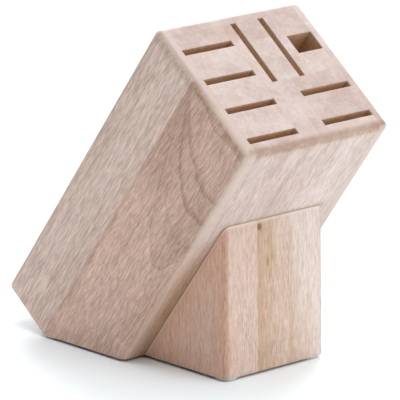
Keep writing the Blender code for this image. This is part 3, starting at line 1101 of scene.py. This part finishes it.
def bore_cutter(node, matrix):
    """The round hole that a dowel is glued into, in the axes of a matrix."""
    radius, length = dowel_size(node)
    wide = radius + BORE_FIT
    outline = ((0.0, -GLUE_GAP), (wide, -GLUE_GAP), (wide, length + GLUE_GAP), (0.0, length + GLUE_GAP))
    cutter = mesh_object(f"{node}_bore", turned_mesh(outline, DOWEL_SIDES))
    cutter.data.transform(matrix.inverted() @ dowel_matrix(node))
    return cutter


def make_dowels():
    """Fluted beech dowels with chamfered ends."""
    for node in DOWELS:
        radius, length = dowel_size(node)
        outline = (
            (0.0, 0.0),
            (radius - DOWEL_CHAMFER, 0.0),
            (radius, DOWEL_CHAMFER),
            (radius, length - DOWEL_CHAMFER),
            (radius - DOWEL_CHAMFER, length),
            (0.0, length),
        )
        place = dowel_matrix(node)
        piece = mesh_object(f"{node}_fluted", turned_mesh(outline, DOWEL_SIDES, FLUTE_DEPTH))
        piece.data.transform(place)
        finish_piece(piece, node, (wood_material(node, place, DOWEL_WOOD),))


def make_bumpers():
    """Soft milky pads between the wood and the worktop."""
    rubber = rubber_material()
    for node in BUMPERS:
        low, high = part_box(node)
        radius = (high.x - low.x) / 2
        stand = BAR.translation.z - low.z
        outline = [(0.0, 0.0)]
        for step in range(BUMPER_SEGMENTS + 1):
            angle = math.pi / 2 * step / BUMPER_SEGMENTS
            outline.append((
                radius - BUMPER_SHOULDER * (1 - math.sin(angle)),
                BUMPER_CROWN * (1 - math.cos(angle)),
            ))
        outline += [(radius, stand), (0.0, stand)]
        piece = mesh_object(f"{node}_pad", turned_mesh(outline, BUMPER_SIDES))
        piece.data.transform(Matrix.Translation(((low.x + high.x) / 2, (low.y + high.y) / 2, low.z)))
        finish_piece(piece, node, (rubber,))


def finish_piece(piece, node, materials):
    """Shade a piece and let it stand for its CAD node."""
    if not piece.data.materials:
        for material in materials:
            piece.data.materials.append(material)
    piece.data.shade_smooth()
    piece.data.set_sharp_from_angle(angle=SMOOTH_ANGLE)
    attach(piece, "root")
    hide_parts(node)


def make_foot(sawn):
    """The three staves of the foot."""
    envelope = foot_envelope()
    sections = {name: cad_section(name, LEVEL) for name in FOOT_STAVES}
    for name, wood in FOOT_STAVES.items():
        others = [section for other, section in sections.items() if other != name]
        low, high = grow(*sections[name], others)
        if name == "foot_left":
            low.x -= OVERRUN
        if name == "foot_right":
            high.x += OVERRUN
        low = Vector((low.x, -BAR_DEPTH, -OVERRUN))
        high = Vector((high.x, OVERRUN, 2 * BAR_DEPTH))
        materials = (wood_material(name, LEVEL, wood, foot_finish), sawn)
        make_piece(name, low, high, LEVEL, (("INTERSECT", envelope),), materials)
    drop(envelope)


def make_floor():
    """A wide white floor."""
    bm = bmesh.new()
    bmesh.ops.create_grid(bm, x_segments=1, y_segments=1, size=FLOOR_SIZE)
    floor = mesh_object("floor", bm)
    material, _, shader = new_material("floor_white")
    shader.inputs["Base Color"].default_value = FLOOR_COLOUR
    shader.inputs["Roughness"].default_value = FLOOR_ROUGHNESS
    floor.data.materials.append(material)


def direction(azimuth, elevation):
    """Unit vector from the block towards an azimuth and elevation in degrees."""
    azimuth = math.radians(azimuth)
    elevation = math.radians(elevation)
    return Vector((
        math.sin(azimuth) * math.cos(elevation),
        -math.cos(azimuth) * math.cos(elevation),
        math.sin(elevation),
    ))


def add_sun(name, azimuth, elevation, spread, strength):
    """A far, wide soft box: it comes from a direction in degrees and lights all places alike."""
    light = bpy.data.lights.new(name, "SUN")
    light.energy = strength
    light.angle = math.radians(spread)
    lamp = bpy.data.objects.new(name, light)
    bpy.context.scene.collection.objects.link(lamp)
    lamp.rotation_mode = "QUATERNION"
    lamp.rotation_quaternion = (-direction(azimuth, elevation)).to_track_quat("-Z", "Y")


def make_lights():
    """Wide soft boxes around the block, and very little light from the room itself."""
    world = bpy.data.worlds.new("studio")
    bpy.context.scene.world = world
    world.use_nodes = True
    background = world.node_tree.nodes["Background"]
    background.inputs["Color"].default_value = (1.0, 1.0, 1.0, 1.0)
    background.inputs["Strength"].default_value = ROOM_LIGHT
    for box in SOFT_BOXES:
        add_sun(*box)


def make_camera():
    """The camera, looking a little down at the front left edge."""
    back = direction(CAMERA_AZIMUTH_DEGREES, CAMERA_ELEVATION_DEGREES)
    camera = bpy.data.objects.new("camera", bpy.data.cameras.new("camera"))
    bpy.context.scene.collection.objects.link(camera)
    camera.data.lens = CAMERA_LENS_MM
    camera.data.sensor_width = CAMERA_SENSOR_MM
    camera.data.clip_end = CAMERA_SEES_TO
    camera.location = CAMERA_AIM + back * CAMERA_DISTANCE
    camera.rotation_mode = "QUATERNION"
    roll = Quaternion((0.0, 0.0, 1.0), CAMERA_ROLL)
    camera.rotation_quaternion = (-back).to_track_quat("-Z", "Y") @ roll
    bpy.context.scene.camera = camera


make_camera()
make_lights()
make_floor()
sawn_wall = sawn_material()
make_bar(sawn_wall)
make_foot(sawn_wall)
make_dowels()
make_bumpers()
bpy.context.scene.view_settings.view_transform = "Standard"
